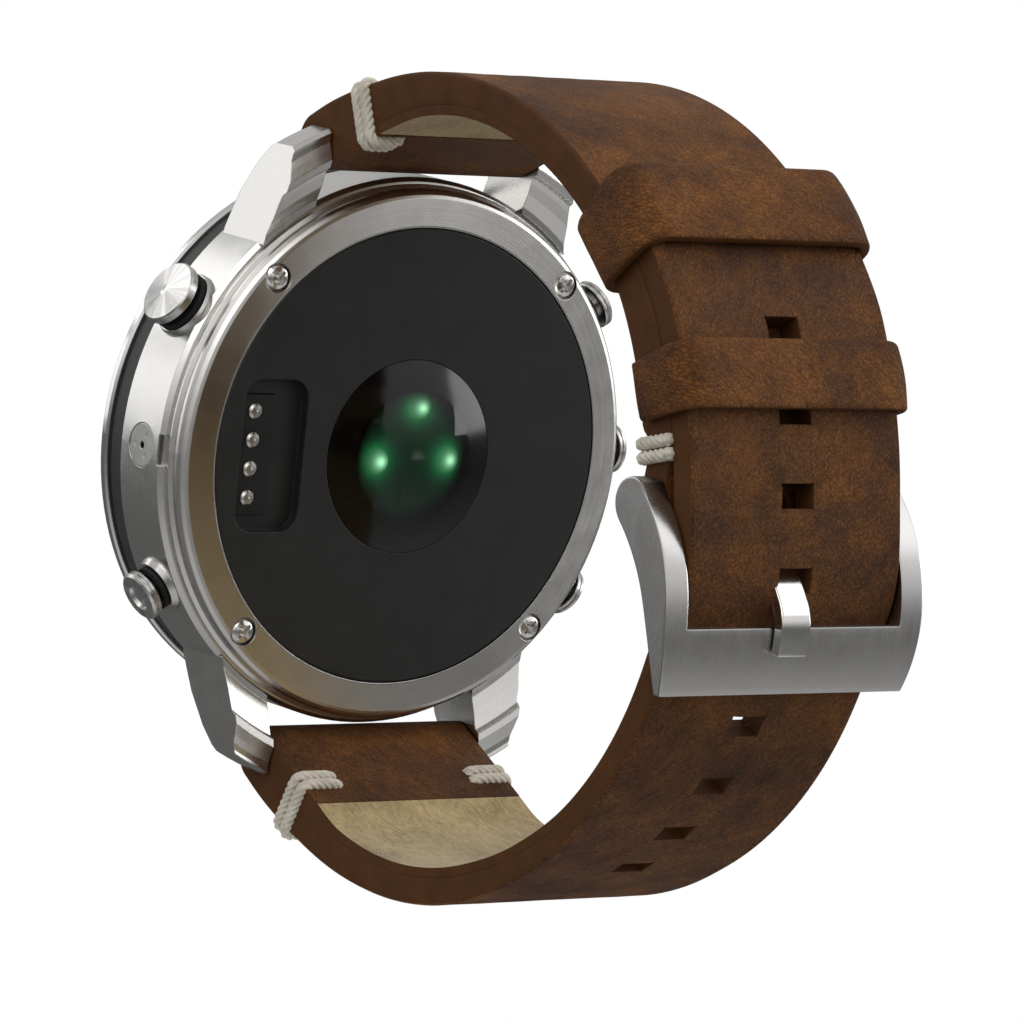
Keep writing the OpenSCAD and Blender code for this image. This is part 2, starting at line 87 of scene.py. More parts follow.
# ---------- node helpers ----------
class Mat:
    """A small builder for the nodes of one material, or of the world."""

    def __init__(self, name, world=None):
        self.mat = world or bpy.data.materials.new(name)
        self.mat.use_nodes = True
        self.nt = self.mat.node_tree
        self.nt.nodes.clear()
        self.out = self.node("ShaderNodeOutputWorld" if world else "ShaderNodeOutputMaterial")

    def node(self, kind, inputs=None, **props):
        n = self.nt.nodes.new(kind)
        for k, v in props.items():
            setattr(n, k, v)
        for k, v in (inputs or {}).items():
            self.put(n, k, v)
        return n

    def put(self, n, key, v):
        sock = n.inputs[key]
        if isinstance(v, bpy.types.NodeSocket):
            self.nt.links.new(v, sock)
        elif isinstance(v, bpy.types.Node):
            self.nt.links.new(v.outputs[0], sock)
        else:
            sock.default_value = v

    def coords(self, scale=(1, 1, 1), loc=(0, 0, 0), rot=(0, 0, 0), uv=False):
        """Object (or UV) coordinates in millimetres."""
        tc = self.node("ShaderNodeTexCoord")
        s = tuple(1000 * v for v in scale) if not uv else tuple(100 * v for v in scale)
        src = tc.outputs["UV"] if uv else tc.outputs["Object"]
        place = {"Vector": src, "Scale": s, "Location": loc, "Rotation": rot}
        return self.node("ShaderNodeMapping", place).outputs[0]

    def drawn(self, vec, turn, across, along):
        """Coordinates turned about the surface and then scaled, for a grain that runs at an angle."""
        turned = self.node("ShaderNodeMapping", {"Vector": vec, "Rotation": (0, 0, turn)}).outputs[0]
        return self.vmath("MULTIPLY", turned, (along, across, 1.0))

    def math(self, op, a, b=0.0, c=0.0, clamp=False):
        n = self.node("ShaderNodeMath", operation=op, use_clamp=clamp)
        self.put(n, 0, a)
        self.put(n, 1, b)
        self.put(n, 2, c)
        return n.outputs[0]

    def total(self, *terms):
        """The sum of values, each times its weight."""
        parts = [self.math("MULTIPLY", v, weight) for v, weight in terms]
        out = parts[0]
        for part in parts[1:]:
            out = self.math("ADD", out, part)
        return out

    def vmath(self, op, a, b=(0, 0, 0)):
        n = self.node("ShaderNodeVectorMath", operation=op)
        self.put(n, 0, a)
        self.put(n, 1, b)
        return n.outputs["Value"] if op in ("LENGTH", "DISTANCE", "DOT_PRODUCT") else n.outputs[0]

    def noise(self, vec, scale, detail=2.0, rough=0.5, dist=0.0):
        look = {"Vector": vec, "Scale": scale, "Detail": detail, "Roughness": rough, "Distortion": dist}
        return self.node("ShaderNodeTexNoise", look).outputs["Fac"]

    def voronoi(self, vec, scale, feature="F1", rand=1.0):
        n = self.node("ShaderNodeTexVoronoi", {"Vector": vec, "Scale": scale, "Randomness": rand}, feature=feature)
        return n.outputs["Distance"]

    def ramp(self, fac, stops, interp="LINEAR"):
        n = self.node("ShaderNodeValToRGB", {"Fac": fac})
        cr = n.color_ramp
        cr.interpolation = interp
        while len(cr.elements) < len(stops):
            cr.elements.new(0.5)
        for e, (p, c) in zip(cr.elements, stops):
            e.position = p
            e.color = (*c, 1) if len(c) == 3 else c
        return n.outputs["Color"]

    def maprange(self, v, a, b, c, d):
        ends = {"Value": v, "From Min": a, "From Max": b, "To Min": c, "To Max": d}
        return self.node("ShaderNodeMapRange", ends).outputs[0]

    def grey(self, v):
        """A grey colour of one value."""
        return self.node("ShaderNodeCombineColor", {0: v, 1: v, 2: v}).outputs[0]

    def xyz(self, x, y, z):
        return self.node("ShaderNodeCombineXYZ", {0: x, 1: y, 2: z}).outputs[0]

    def mix(self, fac, a, b, blend="MIX"):
        n = self.node("ShaderNodeMix", data_type="RGBA", blend_type=blend)
        n.inputs["Factor"].default_value = 0.5
        self.put(n, "Factor", fac)
        for key, v in (("A", a), ("B", b)):
            sock = [s for s in n.inputs if s.name == key and s.type == "RGBA"][0]
            if isinstance(v, bpy.types.NodeSocket):
                self.nt.links.new(v, sock)
            else:
                sock.default_value = (*v, 1) if len(v) == 3 else v
        return [s for s in n.outputs if s.type == "RGBA"][0]

    def bump(self, height, strength, dist, normal=None):
        n = self.node("ShaderNodeBump", {"Height": height, "Strength": strength, "Distance": dist * MM})
        if normal is not None:
            self.put(n, "Normal", normal)
        return n.outputs[0]

    def edge(self, radius):
        return self.node("ShaderNodeBevel", {"Radius": radius * MM}, samples=4).outputs[0]

    def bsdf(self, **inputs):
        n = self.node("ShaderNodeBsdfPrincipled")
        for k, v in inputs.items():
            self.put(n, k.replace("_", " "), v)
        self.put(self.out, "Surface", n)
        return n


def rgb(r, g, b):
    """An sRGB colour as linear values."""
    return tuple(((v / 255 + 0.055) / 1.055) ** 2.4 if v > 10 else v / 255 / 12.92 for v in (r, g, b))


# ---------- materials ----------
def leather(name, tone=1.0, shift=(0, 0, 0), crease=1.0):
    """Oiled leather: fine grain drawn out at an angle, soft creases and slow changes of colour. The grain is painted
    darker in its hollows and lighter on its tops, as painted shade and painted highlight, and the creases are painted
    lighter, as a painted highlight.
    """
    m = Mat(name)
    p = m.coords(loc=shift)
    q = m.coords(uv=True, loc=shift)
    big = m.noise(p, 0.085, 3, 0.5, 0.3)
    mid = m.noise(p, 0.30, 4, 0.6, 0.2)
    fine = m.noise(p, 5.0, 3, 0.65)
    wob = m.node("ShaderNodeTexNoise", {"Vector": p, "Scale": 0.25, "Detail": 2.0}).outputs["Color"]
    sc = m.node("ShaderNodeVectorMath", {0: wob, "Scale": 1.2}, operation="SCALE").outputs[0]
    qw = m.vmath("ADD", q, sc)
    strokes = m.noise(m.drawn(qw, 0.95, 5.2, 2.1), 1.0, 3, 0.68)
    wrinkle = m.noise(m.drawn(qw, 0.80, 2.4, 1.0), 1.0, 3, 0.6)
    tops = m.maprange(m.voronoi(m.drawn(qw, 0.95, 3.6, 2.1), 1.0, "DISTANCE_TO_EDGE"), 0.0, 0.3, 0.0, 1.0)
    # longer soft creases, in patches; they are bumps and are also painted lighter along their lines, as a painted
    # highlight
    lines = m.noise(m.drawn(qw, 0.85, 1.1, 0.3), 1.0, 3, 0.6)
    ridge = m.math("ABSOLUTE", m.math("SUBTRACT", lines, 0.5))
    folds = m.math("SUBTRACT", 1.0, m.math("MULTIPLY", ridge, 9.0), clamp=True)
    zones = m.maprange(m.noise(p, 0.12, 2, 0.5, 0.3), 0.48, 0.64, 0.0, 1.0)
    folds = m.math("MULTIPLY", folds, zones)
    light, base, dark, deep = (tuple(c * tone for c in rgb(*k)) for k in (
        (138, 87, 38), (112, 69, 29), (88, 52, 24), (64, 38, 19)))
    col = m.ramp(m.total((big, 0.55), (mid, 0.45)), [(0.30, deep), (0.42, dark), (0.54, base), (0.68, light)])
    g = m.total((tops, 0.18), (strokes, 0.42), (fine, 0.2), (wrinkle, 0.2))
    # painted shade and highlight: the colour is darker in the grain's hollows and lighter on its tops
    grain_painted_shade = m.maprange(g, 0.40, 0.66, 0.52, 1.42)
    col = m.mix(1.0, col, m.grey(grain_painted_shade), "MULTIPLY")
    # painted highlight: the colour is lighter along the creases
    col = m.mix(m.math("MULTIPLY", folds, 0.25 * crease), col, light)
    h = m.total((tops, 0.22), (fine, 0.25), (strokes, 1.5), (wrinkle, 0.7), (folds, 0.40 * crease),
                (m.noise(p, 0.6, 3, 0.6, 0.3), 0.6))
    rough = m.maprange(m.math("ADD", fine, mid), 0.6, 1.4, 0.48, 0.66)
    m.bsdf(Base_Color=col, Roughness=rough, Normal=m.bump(h, 0.8, 0.15), Sheen_Weight=0.02,
           Sheen_Roughness=0.5, Specular_IOR_Level=0.17)
    return m.mat


def painted_edge(name):
    """The sealed, slightly glossy cut edge of the strap."""
    m = Mat(name)
    p = m.coords()
    a = m.noise(p, 0.5, 3, 0.5, 0.3)
    b = m.noise(m.coords(scale=(0.4, 1, 1)), 5.0, 2, 0.5)
    col = m.ramp(m.total((a, 0.7), (b, 0.3)), [(0.3, rgb(72, 44, 21)), (0.7, rgb(88, 54, 26))])
    m.bsdf(Base_Color=col, Roughness=m.maprange(b, 0.3, 0.7, 0.5, 0.66), Normal=m.bump(b, 0.25, 0.03),
           Specular_IOR_Level=0.14)
    return m.mat


def suede(name):
    """The napped pale lining."""
    m = Mat(name)
    p = m.coords()
    a = m.noise(p, 0.22, 3, 0.55, 0.4)
    b = m.noise(p, 4.5, 3, 0.7, 0.8)
    c = m.noise(m.coords(scale=(1.0, 0.35, 0.35), rot=(0.5, 0.3, 0.2)), 2.8, 2, 0.6, 0.6)
    col = m.ramp(m.total((a, 0.35), (m.math("ADD", b, c), 0.33)),
                 [(0.36, rgb(120, 99, 57)), (0.5, rgb(166, 141, 90)), (0.64, rgb(198, 174, 122))])
    m.bsdf(Base_Color=col, Roughness=m.maprange(b, 0.3, 0.7, 0.75, 0.95), Sheen_Weight=0.35, Sheen_Roughness=0.6,
           Normal=m.bump(m.math("ADD", b, c), 0.8, 0.10), Specular_IOR_Level=0.15)
    return m.mat


def thread_mat(name):
    """Waxed off-white cord."""
    m = Mat(name)
    p = m.coords()
    a = m.noise(p, 6.0, 3, 0.6, 0.5)
    b = m.noise(p, 1.0, 2, 0.5)
    col = m.ramp(m.total((a, 0.5), (b, 0.5)),
                 [(0.3, rgb(176, 169, 154)), (0.5, rgb(206, 199, 185)), (0.7, rgb(226, 220, 207))])
    m.bsdf(Base_Color=col, Roughness=m.maprange(a, 0.3, 0.7, 0.6, 0.8), Sheen_Weight=0.3,
           Normal=m.bump(a, 0.25, 0.04), Specular_IOR_Level=0.25)
    return m.mat


def steel(name, tone=(0.72, 0.71, 0.69), rough=(0.22, 0.34), brush="turned", aniso=0.5, edge=0.12, bump=0.12,
          centre=None, axis=None, wear=0.06):
    """Brushed or polished steel. brush is turned (rings about Y), x, y or z (lines along that axis),
    fan (rings about a button's axis, given by centre and axis, with painted highlights in fans round that axis) or
    none."""
    m = Mat(name)
    p = m.coords()
    tangent = None
    if brush == "turned":
        flat = m.vmath("MULTIPLY", p, (1, 0, 1))
        sep = m.node("ShaderNodeSeparateXYZ", {0: p})
        r = m.vmath("LENGTH", flat)
        vec = m.xyz(m.math("MULTIPLY", r, 9.0), m.math("MULTIPLY", sep.outputs[1], 9.0), 0.0)
        tangent = m.vmath("NORMALIZE", m.vmath("CROSS_PRODUCT", (0, 1, 0), flat))
    elif brush == "fan":
        rel = m.vmath("SUBTRACT", p, centre)
        along = m.vmath("DOT_PRODUCT", rel, axis)
        sc = m.node("ShaderNodeVectorMath", operation="SCALE")
        m.put(sc, 0, axis)
        m.put(sc, "Scale", along)
        flat = m.vmath("SUBTRACT", rel, sc.outputs[0])
        r = m.vmath("LENGTH", flat)
        vec = m.xyz(m.math("MULTIPLY", r, 9.0), m.math("MULTIPLY", along, 6.0), 0.0)
        tangent = m.vmath("NORMALIZE", m.vmath("CROSS_PRODUCT", axis, rel))
    else:
        s = {"x": (0.25, 9, 9), "y": (9, 0.25, 9), "z": (9, 9, 0.25), "none": (1.5, 1.5, 1.5)}[brush]
        vec = m.vmath("MULTIPLY", p, s)
        if brush != "none":
            tangent = m.xyz(*(float(brush == k) for k in "xyz"))
    lines = m.noise(vec, 1.0, 3, 0.7)
    cloud = m.noise(p, 0.4, 3, 0.55, 0.3)
    f = m.total((lines, 0.6), (cloud, 0.4))
    lo = tuple(c * (1 - wear) for c in tone)
    hi = tuple(min(1, c * (1 + wear)) for c in tone)
    col = m.ramp(f, [(0.35, lo), (0.65, hi)])
    # painted highlight: the colour turns lighter and darker in fans round the button's axis
    if brush == "fan":
        painted_fan_highlights = m.maprange(m.noise(m.vmath("NORMALIZE", flat), 2.6, 2, 0.5), 0.34, 0.66, 0.72, 1.12)
        col = m.mix(1.0, col, m.grey(painted_fan_highlights), "MULTIPLY")
    b = m.bsdf(Base_Color=col, Metallic=1.0, Roughness=m.maprange(f, 0.3, 0.7, rough[0], rough[1]),
               Normal=m.bump(lines, bump, 0.02, m.edge(edge) if edge else None),
               Anisotropic=aniso if tangent else 0.0)
    if tangent is not None and aniso:
        m.put(b, "Tangent", tangent)
    return m.mat


def polymer(name, colour, rough=(0.4, 0.55), bump=0.2, scale=5.0, spec=0.4, edge=0.08, vary=0.18):
    """Moulded plastic or rubber with a fine texture."""
    m = Mat(name)
    p = m.coords()
    a = m.noise(p, scale, 3, 0.6)
    b = m.noise(p, 0.3, 2, 0.5, 0.4)
    f = m.total((a, 0.5), (b, 0.5))
    lo = tuple(c * (1 - vary) for c in colour)
    hi = tuple(min(1, c * (1 + vary)) for c in colour)
    col = m.ramp(f, [(0.35, lo), (0.65, hi)])
    m.bsdf(Base_Color=col, Roughness=m.maprange(f, 0.3, 0.7, rough[0], rough[1]),
           Normal=m.bump(a, bump, 0.02, m.edge(edge) if edge else None), Specular_IOR_Level=spec)
    return m.mat


def glow(m, spots, width):
    """The sum of soft round spots in the XZ plane."""
    p = m.vmath("MULTIPLY", m.coords(), (1, 0, 1))
    total = 0.0
    for x, z in spots:
        d = m.vmath("DISTANCE", p, (x, 0, z))
        e = m.math("POWER", 2.718, m.math("MULTIPLY", m.math("MULTIPLY", d, d), -1.0 / (width * width)))
        total = m.math("ADD", total, e)
    return total


LEDS = [(-1.6, 4.1), (2.2, -0.6), (-4.9, -0.4)]     # x and z of each lamp behind the lens


def sensor_mat():
    """The lit sensor seen through the dome: soft green light painted round each lamp, on the board, the diodes and
    the lamps themselves, over a dark green ground.
    """
    m = Mat("sensor_lit")
    core, near, far = glow(m, LEDS, 0.45), glow(m, LEDS, 1.35), glow(m, LEDS, 2.6)
    n = m.noise(m.coords(), 0.8, 2, 0.5)
    b = m.bsdf(Base_Color=m.ramp(n, [(0.3, (0.010, 0.022, 0.016)), (0.7, (0.016, 0.034, 0.025))]),
               Roughness=m.maprange(n, 0.3, 0.7, 0.45, 0.6), Specular_IOR_Level=0.2, Normal=m.bump(n, 0.1, 0.02))
    # painted light: the glow's colour and strength are painted by distance from each lamp, so the board and the
    # diodes glow too
    painted_glow_green = [(0.0, (0.03, 0.30, 0.13)), (0.45, (0.05, 0.55, 0.20)), (1.0, (0.55, 1.0, 0.66))]
    m.put(b, "Emission Color", m.ramp(near, painted_glow_green))
    light = m.math("ADD", m.math("MULTIPLY", near, 0.5), m.math("MULTIPLY", far, 0.10))
    m.put(b, "Emission Strength", m.math("ADD", m.math("ADD", light, m.math("MULTIPLY", core, 1.3)), 0.02))
    return m.mat


def dome_mat():
    """Clear smoked dome: a window in the middle and a black printed band round it."""
    m = Mat("smoked_dome")
    p = m.coords()
    r = m.vmath("LENGTH", m.vmath("MULTIPLY", p, (1, 0, 1)))
    grime = m.noise(p, 0.7, 3, 0.6)
    shade = m.maprange(r, 4.3, 5.9, 0.0, 1.0)
    band = m.maprange(r, 5.9, 6.2, 0.0, 1.0)
    col = m.mix(shade, (0.50, 0.64, 0.55), (0.002, 0.002, 0.002))
    rough = m.math("ADD", m.maprange(grime, 0.3, 0.7, 0.02, 0.05), m.math("MULTIPLY", band, 0.10))
    b = m.bsdf(Base_Color=col, Roughness=rough, IOR=1.45, Normal=m.bump(grime, 0.02, 0.05))
    m.put(b, "Transmission Weight", m.math("SUBTRACT", 1.0, band))
    return m.mat


def glass_mat(name):
    """The clear crystal."""
    m = Mat(name)
    g = m.noise(m.coords(), 0.5, 3, 0.5)
    m.bsdf(Base_Color=m.ramp(g, [(0.3, (0.93, 0.95, 0.95)), (0.7, (0.98, 0.99, 0.99))]),
           Roughness=m.maprange(g, 0.3, 0.7, 0.01, 0.03), IOR=1.5, Transmission_Weight=1.0,
           Normal=m.bump(g, 0.01, 0.05))
    return m.mat


def board_green():
    """A printed circuit board with paler tracks."""
    m = Mat("printed_board")
    p = m.coords()
    tracks = m.voronoi(p, 0.55, "DISTANCE_TO_EDGE", 0.2)
    n = m.noise(p, 2.0, 3, 0.6)
    col = m.mix(m.maprange(tracks, 0.03, 0.07, 1.0, 0.0), rgb(20, 70, 42), rgb(45, 110, 70))
    m.bsdf(Base_Color=col, Roughness=m.maprange(n, 0.3, 0.7, 0.35, 0.5), Normal=m.bump(tracks, 0.2, 0.05))
    return m.mat


def display_mat():
    """A switched-off display with a faint pixel grid."""
    m = Mat("display_black")
    p = m.coords()
    n = m.noise(p, 0.5, 3, 0.5)
    wave = m.node("ShaderNodeTexWave", {"Vector": p, "Scale": 2.2, "Distortion": 0.0}, bands_direction="X")
    grid = wave.outputs["Fac"]
    col = m.mix(m.math("MULTIPLY", grid, 0.25), (0.010, 0.011, 0.012), (0.02, 0.022, 0.024))
    m.bsdf(Base_Color=col, Roughness=m.maprange(n, 0.3, 0.7, 0.15, 0.22), Normal=m.bump(n, 0.02, 0.02))
    return m.mat


M = {
    "leather": leather("leather_strap"),
    # painted shade: the lower strap takes a copy of the strap leather that is darker all over, as that strap faces
    # down
    "leather_low_shaded": leather("leather_strap_lower_shaded", 0.86, (31, 7, 3)),
    "leather_keeper": leather("leather_keepers", 1.0, (11, -17, 23), 0.6),
    "edge": painted_edge("leather_edge"),
    "suede": suede("suede_lining"),
    "thread": thread_mat("waxed_thread"),
    "case": steel("steel_case", (0.74, 0.73, 0.71), (0.2, 0.3), "turned", 0.45, 0.12),
    "bezel": steel("steel_bezel", (0.74, 0.73, 0.72), (0.1, 0.18), "turned", 0.3, 0.1),
    "ring": steel("steel_back_ring", (0.68, 0.665, 0.64), (0.18, 0.28), "turned", 0.8, 0.1, 0.3),
    "buckle": steel("steel_buckle", (0.55, 0.54, 0.53), (0.22, 0.30), "z", 0.45, 0.0, 0.10, wear=0.03),
    "tongue": steel("steel_tongue", (0.72, 0.71, 0.70), (0.12, 0.20), "none", 0.0, 0.0, 0.05),
    "screw": steel("steel_screw", (0.78, 0.77, 0.75), (0.12, 0.2), "none", 0.0, 0.05, 0.1),
    "pin": steel("steel_pin", (0.6, 0.6, 0.6), (0.2, 0.3), "x", 0.3, 0.05),
    "collar": steel("steel_collar", (0.66, 0.65, 0.63), (0.15, 0.26), "none", 0.0, 0.06, 0.1),
    "contact": steel("gilt_contact", (0.66, 0.64, 0.60), (0.2, 0.35), "turned", 0.0, 0.05, 0.2, wear=0.25),
    "brass": steel("brass_disc", (0.75, 0.58, 0.28), (0.2, 0.35), "turned", 0.3, 0.05),
    "foil": steel("battery_foil", (0.62, 0.63, 0.65), (0.3, 0.45), "none", 0.0, 0.05, 0.4, wear=0.12),
    "cover": polymer("cover_black", (0.0125, 0.0125, 0.0125), (0.42, 0.52), 0.15, 7.0, 0.42, 0.15),
    "block": polymer("block_black", (0.008, 0.008, 0.008), (0.35, 0.5), 0.3, 6.0, 0.4),
    "band": polymer("insulator_grey", (0.045, 0.045, 0.046), (0.4, 0.5), 0.15, 6.0, 0.35),
    "inner": polymer("inner_polymer", (0.03, 0.03, 0.032), (0.5, 0.6), 0.2),
    "rubber": polymer("seal_rubber", (0.012, 0.012, 0.012), (0.6, 0.75), 0.3, 4.0, 0.3),
    "board": board_green(),
    "sensor": sensor_mat(),
    "dome": dome_mat(),
    "glass": glass_mat("crystal_glass"),
    "display": display_mat(),
}

NODE_MATS = {
    "case": "case_body port_cover", "band": "insulator_band", "bezel": "bezel", "glass": "crystal",
    "rubber": "crystal_gasket case_gasket button_seals", "display": "display", "board": "main_board",
    "inner": "display_frame inner_frame button_switches", "foil": "battery", "brass": "buzzer antenna_ring",
    "screw": "vibration_motor back_screws", "ring": "back_ring", "cover": "back_cover", "dome": "lens",
    "sensor": "sensor_board sensor_leds photodiodes", "block": "contact_block", "contact": "contacts",
    "collar": "button_collars",
    "pin": "start_clip back_clip light_clip menu_clip down_clip spring_bar_upper spring_bar_lower buckle_pin",
}
# each button's angle round the case, in degrees from +X towards +Z
BUTTONS = {"start_button": 30, "back_button": -30, "light_button": 150, "menu_button": 180, "down_button": 210}
BUTTON_Y = 7.75


def give(node, mat):
    slots = frame["nodes"][node].data.materials
    slots.clear()
    slots.append(mat)


for key, nodes in NODE_MATS.items():
    for name in nodes.split():
        give(name, M[key])
for name, ang in BUTTONS.items():
    a = math.radians(ang)
    give(name, steel("steel_" + name, (0.82, 0.81, 0.80), (0.16, 0.26), "fan", 0.85, 0.06, 0.25,
                     centre=(0, BUTTON_Y, 0), axis=(math.cos(a), 0.0, math.sin(a))))


# ---------- mesh helpers ----------
def finish_mesh(name, bm, mats, body, replaces=(), smooth=40):
    """Turn a mesh in millimetres into a piece that rides on a body and stands for CAD nodes."""
    me = bpy.data.meshes.new(name)
    bmesh.ops.recalc_face_normals(bm, faces=bm.faces)
    bm.to_mesh(me)
    bm.free()
    for v in me.vertices:
        v.co *= MM
    for mt in mats:
        me.materials.append(mt)
    ob = bpy.data.objects.new(name, me)
    scene.collection.objects.link(ob)
    for f in me.polygons:
        f.use_smooth = True
    me.set_sharp_from_angle(angle=math.radians(smooth))
    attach(ob, body)
    if replaces:
        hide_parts(*replaces)
    return ob


def skin(bm, a, b):
    """Quads between two closed rings of vertices."""
    for i in range(len(a)):
        k = (i + 1) % len(a)
        bm.faces.new((a[i], a[k], b[k], b[i]))


def round_edges(bm, angle, offset, segments, profile):
    """Bevel the convex edges that are sharper than an angle."""
    bmesh.ops.recalc_face_normals(bm, faces=bm.faces)
    bm.normal_update()
    sharp = [e for e in bm.edges
             if len(e.link_faces) == 2 and e.calc_face_angle(0) > math.radians(angle) and e.is_convex]
    bmesh.ops.bevel(bm, geom=sharp, offset=offset, segments=segments, affect="EDGES", clamp_overlap=True,
                    profile=profile, miter_outer="SHARP")


def even_normals(ob):
    """Let the large faces decide the shading next to small bevels."""
    even = ob.modifiers.new("even", "WEIGHTED_NORMAL")
    even.keep_sharp = True
    even.weight = 100


LY = 30.2                       # y of the middle of the strap loop
ROOT = (9.9, 27.2, 2.5)         # y, z and outer radius of the fold round a spring bar
PIN_R, PIN_A = 32.2, 8.0        # the buckle pin, as a radius and angle about the loop
STRAP_HALF = 10.95
STEP = 0.9                      # degrees of loop between two stations
HOLES_FROM, HOLES_STEP = -1.4, -10.5
HOLE_REACH = math.degrees(1.0 / 36.0)       # half the length of a punched hole, as an angle
HOLE_HALF = 1.65
# radius against angle for the outer and inner faces of the two straps
PIN = (LY + PIN_R * math.cos(math.radians(PIN_A)), PIN_R * math.sin(math.radians(PIN_A)))
UP_OUT = [(13, 34.9), (20, 35.05), (25, 35.1), (33, 35.45), (40, 35.35), (50, 35.25), (60, 35.2), (97, 35.4),
          (111, 35.5), (118, 35.85)]
UP_IN = [(13, 31), (19, 31.4), (38, 32), (56, 32.2), (89, 31.9), (99, 31.6), (110, 30.9)]
LOW_OUT = [(-118, 35.85), (-111, 35.5), (-95, 35.25), (-57, 35.2), (-40, 35.7), (-20, 36.35), (-14, 36.55),
           (-9.5, 36.8), (-7.2, 37.25), (-5, 37.7), (0, 37.8), (8, 37.4), (20, 37.5), (33, 37.95), (42, 37.7),
           (50, 37.6)]
LOW_IN = [(-110, 30.9), (-103, 31.6), (-87, 31.9), (-66, 32.1), (-52, 32.6), (-43, 33.1), (-31, 33.6), (-20, 34),
          (-14, 34.2), (-8, 34.5), (-3, 35.2), (0, 35.4), (8, 35.05), (20, 35.2), (33, 35.65), (42, 35.45),
          (50, 35.4)]


def lut(t, a, soft=2.0):
    """A radius table read smoothly."""
    def one(v):
        if v <= t[0][0]:
            return t[0][1]
        for (a0, r0), (a1, r1) in zip(t, t[1:]):
            if v <= a1:
                return r0 + (r1 - r0) * (v - a0) / (a1 - a0)
        return t[-1][1]
    w = [(k, math.exp(-(k / soft) ** 2)) for k in (-4, -3, -2, -1, 0, 1, 2, 3, 4)]
    return sum(one(a + k * soft / 2) * g for k, g in w) / sum(g for k, g in w)


def lp(r, a):
    """A point on the strap loop, as (y, z)."""
    a = math.radians(a)
    return Vector((LY + r * math.cos(a), r * math.sin(a)))


def arc_pt(c, r, a):
    """A point on a circle round c, as (y, z)."""
    a = math.radians(a)
    return Vector((c[0] + r * math.cos(a), c[1] + r * math.sin(a)))


def lerp(a, b, t):
    return a + (b - a) * t


def root_stations(sign, inner_end, outer_end, n=16, m=14):
    """Paired outer and inner points from the fold round the spring bar up to the loop.
    sign flips the lower strap."""
    out = []
    for i in range(1, n + 1):
        t = i / n
        o = arc_pt(ROOT, ROOT[2], 205 - 91 * t)
        k = arc_pt(ROOT, ROOT[2], 205 + 91 * t)
        out.append([o, k])
    o0, k0 = out[-1]
    o1, k1 = outer_end, inner_end
    for i in range(1, m):
        t = i / m
        # the outer face bulges very slightly between the fold and the loop
        o = lerp(o0, o1, t)
        k = lerp(k0, k1, t)
        mid = (o1 - o0).normalized()
        nrm = Vector((-mid.y, mid.x))
        o = o + nrm * 0.12 * math.sin(math.pi * t)
        out.append([o, k])
    return [[Vector((p.x, sign * p.y)) for p in s] for s in out]


NTOP = 37               # grid lines across a strap
CORNER, NSIDE = 4, 5    # steps round a corner, and lines down a side
ROUND_LOW = 0.012       # radius of the lining side's corners


